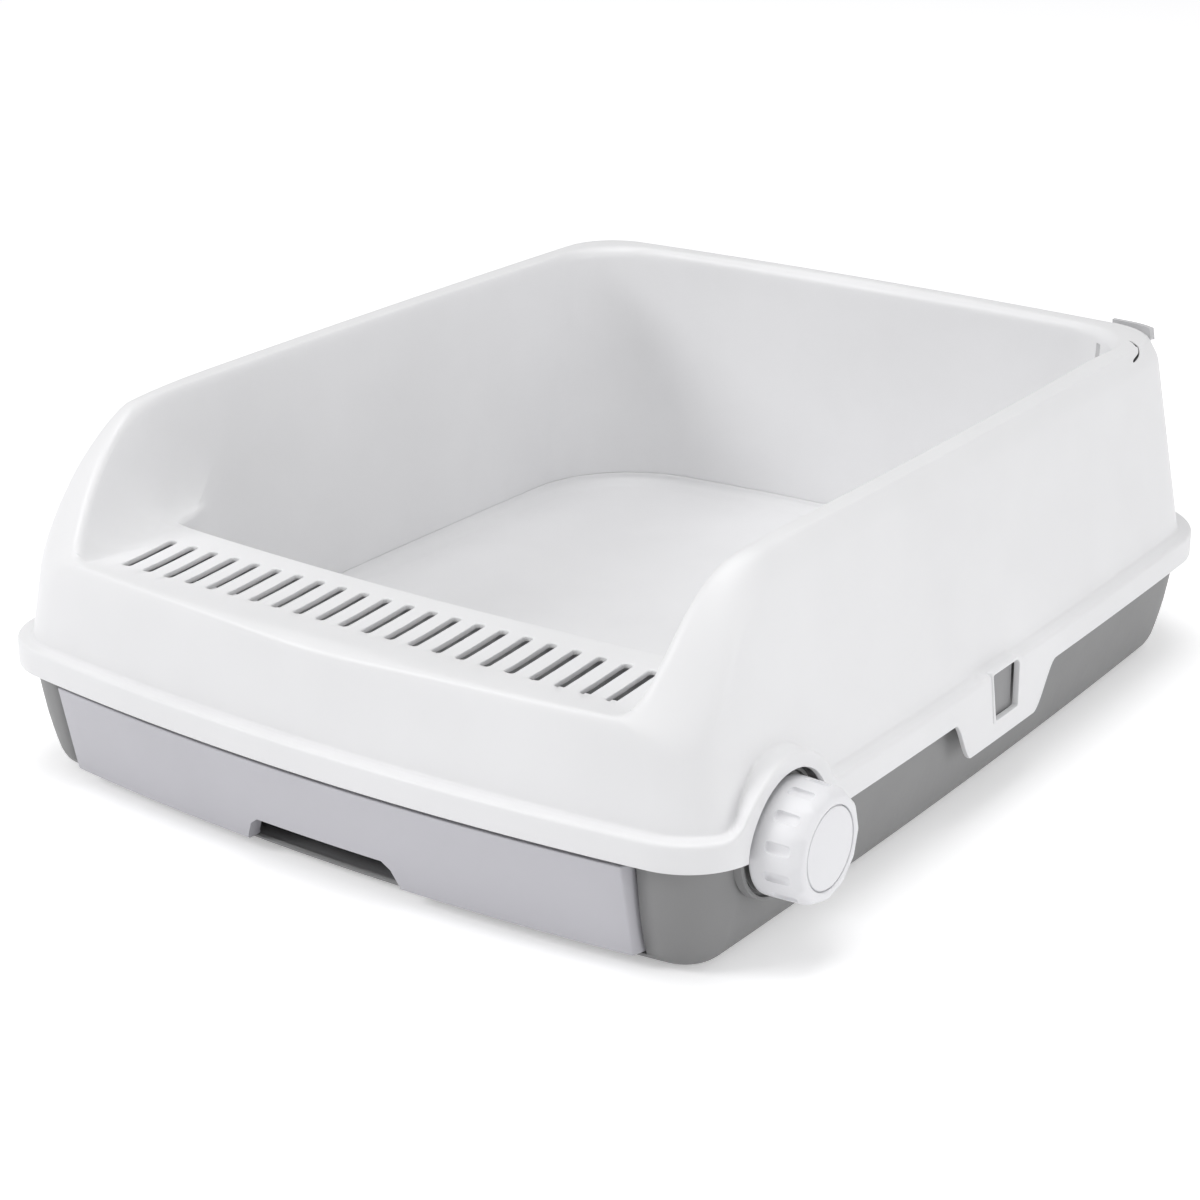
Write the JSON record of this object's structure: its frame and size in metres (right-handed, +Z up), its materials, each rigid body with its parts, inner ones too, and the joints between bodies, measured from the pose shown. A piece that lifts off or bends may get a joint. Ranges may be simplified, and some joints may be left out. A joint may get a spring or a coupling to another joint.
{
  "type": "drawer litter box",
  "caption": "Open-top cat litter box with a low slotted step-in ledge, high sides, a litter pan, a pull-out waste drawer and a side knob that tips a waste trough.",
  "frame": {"origin": "middle of the footprint on the floor, 3 mm below the centre of the base's flat underside, on the plane of symmetry of the body", "axes": "+X to the right as seen from the front, where the knob is; +Y to the back, the drawer opens towards -Y; +Z up"},
  "size_m": [0.497, 0.6116, 0.1968],
  "materials": {
    "hood_white": "satin moulded",
    "pan_white": "satin moulded",
    "base_grey": "fine matte moulded",
    "drawer_grey": "fine matte moulded",
    "trough_grey": "fine matte moulded",
    "bush_white": "satin moulded",
    "spindle_grey": "matte moulded",
    "knob_white": "satin moulded",
    "latch_grey": "matte moulded",
    "holder_grey": "matte moulded",
    "scoop_grey": "matte moulded",
    "foot_rubber": "matte",
    "screw_steel": "plated"
  },
  "bodies": {
    "base": {"base_tray": "base_grey", "foot_front_left": "foot_rubber", "foot_front_right": "foot_rubber", "foot_rear_left": "foot_rubber", "foot_rear_right": "foot_rubber", "bush_left": "bush_white", "bush_right": "bush_white"},
    "pan": {"litter_pan": "pan_white"},
    "hood": {"hood": "hood_white", "scoop_holder": "holder_grey"},
    "scoop": {"scoop": "scoop_grey"},
    "drawer": {"drawer_tray": "drawer_grey", "drawer_front": "drawer_grey"},
    "trough": {"trough": "trough_grey", "drive_spindle": "spindle_grey", "pivot_pin": "spindle_grey", "knob": "knob_white", "knob_cap": "knob_white", "knob_screw": "screw_steel"},
    "latch_left": {"latch_left": "latch_grey"},
    "latch_right": {"latch_right": "latch_grey"}
  },
  "joints": [
    {"name": "drawer_slide", "type": "slide", "parent": "base", "child": "drawer", "axis": [0, -1, 0], "range_m": [0, 0.15]},
    {"name": "knob_turn", "type": "hinge", "parent": "base", "child": "trough", "pos_m": [0, -0.214, 0.065], "axis": [1, 0, 0], "continuous": true},
    {"name": "latch_left_bend", "type": "hinge", "parent": "base", "child": "latch_left", "pos_m": [-0.2318, 0.001, 0.0445], "axis": [0, 1, 0], "range_deg": [0, 2.5], "stiffness_Nm_per_rad": 1},
    {"name": "latch_right_bend", "type": "hinge", "parent": "base", "child": "latch_right", "pos_m": [0.2318, 0.001, 0.0445], "axis": [0, -1, 0], "range_deg": [0, 2.5], "stiffness_Nm_per_rad": 1},
    {"name": "pan_lift", "type": "slide", "parent": "base", "child": "pan", "axis": [0, 0, 1], "range_m": [0, 0.15]},
    {"name": "hood_lift", "type": "slide", "parent": "pan", "child": "hood", "axis": [0, 0, 1], "range_m": [0, 0.2]},
    {"name": "scoop_off", "type": "slide", "parent": "hood", "child": "scoop", "axis": [0, 1, 0], "range_m": [0, 0.05]}
  ]
}
